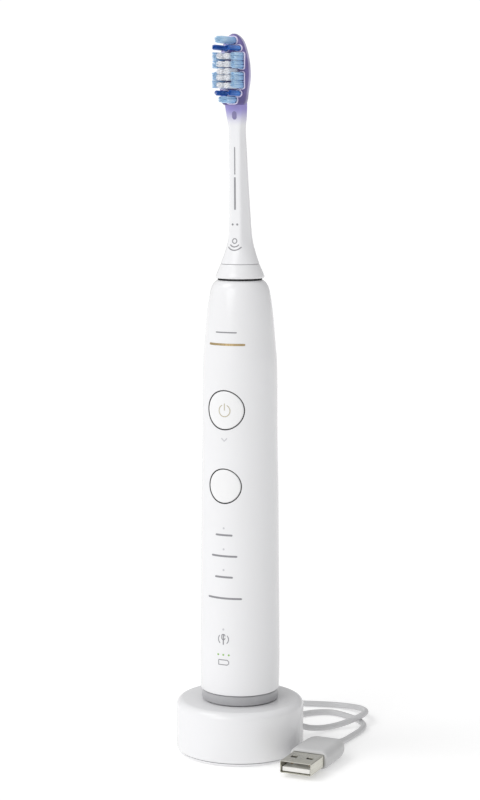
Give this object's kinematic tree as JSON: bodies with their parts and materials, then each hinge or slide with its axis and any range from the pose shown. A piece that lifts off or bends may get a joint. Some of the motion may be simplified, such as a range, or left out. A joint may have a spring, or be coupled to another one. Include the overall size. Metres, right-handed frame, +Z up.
{
  "type": "electric toothbrush on charger",
  "caption": "Sonic toothbrush with push buttons and a lift-off brush head, standing on a round inductive charging base with a USB lead.",
  "frame": {"origin": "centre of the charging base's underside, on the table", "axes": "+Z up along the handle; the buttons and bristles face -Y"},
  "size_m": [0.0778, 0.0909, 0.2616],
  "materials": {
    "white_plastic": "satin moulded ABS",
    "grey_plastic": "satin moulded",
    "frame_plastic": "moulded, unpolished",
    "cord_jacket": "soft matt jacket",
    "rubber": "matt",
    "steel": "bright",
    "copper": "enamelled copper wire",
    "ferrite": "sintered",
    "circuit_board": "lacquered board",
    "battery": "shrink sleeve",
    "clear": "clear moulded guide",
    "purple_plastic": "tinted moulding",
    "light_blue_bristle": "nylon filament",
    "dark_blue_bristle": "nylon filament",
    "white_bristle": "nylon filament"
  },
  "bodies": {
    "charger": {"charger_shell": "white_plastic", "charger_base_plate": "white_plastic", "charger_foot": "rubber", "charger_board": "circuit_board", "charger_coil": "copper", "charger_core": "ferrite", "cord_grommet": "cord_jacket", "charging_cord": "cord_jacket", "plug_cord": "cord_jacket", "cord_coil": "cord_jacket", "usb_overmould": "cord_jacket", "usb_shell": "steel", "usb_tongue": "white_plastic"},
    "handle": {"handle_casing": "white_plastic", "base_trim_ring": "grey_plastic", "base_cap": "grey_plastic", "base_seal": "rubber", "receiver_coil": "copper", "chassis": "frame_plastic", "battery_cell": "battery", "battery_bottom_tab": "steel", "battery_top_tab": "steel", "circuit_board": "circuit_board", "power_switch": "steel", "mode_switch": "steel", "mode_light_guide": "clear", "battery_light_guide": "clear", "stator_core": "ferrite", "motor_winding": "copper", "drive_housing": "frame_plastic", "rear_bearing": "steel", "front_bearing": "steel", "shaft_seal": "rubber"},
    "power_button": {"power_button": "white_plastic"},
    "mode_button": {"mode_button": "white_plastic"},
    "drive": {"drive_shaft": "steel", "rotor_magnet": "steel"},
    "brush_head": {"brush_neck": "white_plastic", "head_plate": "purple_plastic", "collar_ring": "white_plastic", "coupling_sleeve": "frame_plastic", "top_tuft": "light_blue_bristle", "bottom_tuft": "light_blue_bristle", "upper_left_wall": "light_blue_bristle", "upper_right_wall": "light_blue_bristle", "lower_left_wall": "light_blue_bristle", "lower_right_wall": "light_blue_bristle", "upper_left_tuft": "dark_blue_bristle", "upper_right_tuft": "dark_blue_bristle", "lower_left_tuft": "dark_blue_bristle", "lower_right_tuft": "dark_blue_bristle", "white_row_1": "white_bristle", "white_row_2": "white_bristle", "white_row_3": "white_bristle", "white_row_4": "white_bristle", "white_row_5": "white_bristle"}
  },
  "joints": [
    {"name": "handle_lift", "type": "slide", "parent": "charger", "child": "handle", "axis": [0, 0, 1], "range_m": [0, 0.04]},
    {"name": "power_press", "type": "slide", "parent": "handle", "child": "power_button", "axis": [0, 1, 0], "range_m": [0, 0.0005], "stiffness_N_per_m": 1500},
    {"name": "mode_press", "type": "slide", "parent": "handle", "child": "mode_button", "axis": [0, 1, 0], "range_m": [0, 0.0005], "stiffness_N_per_m": 1500},
    {"name": "drive_swing", "type": "hinge", "parent": "handle", "child": "drive", "pos_m": [0, 0, 0.123], "axis": [0, 0, 1], "range_deg": [-5, 5], "stiffness_Nm_per_rad": 0.05},
    {"name": "brush_pull", "type": "slide", "parent": "drive", "child": "brush_head", "axis": [0, 0, 1], "range_m": [0, 0.02]}
  ]
}
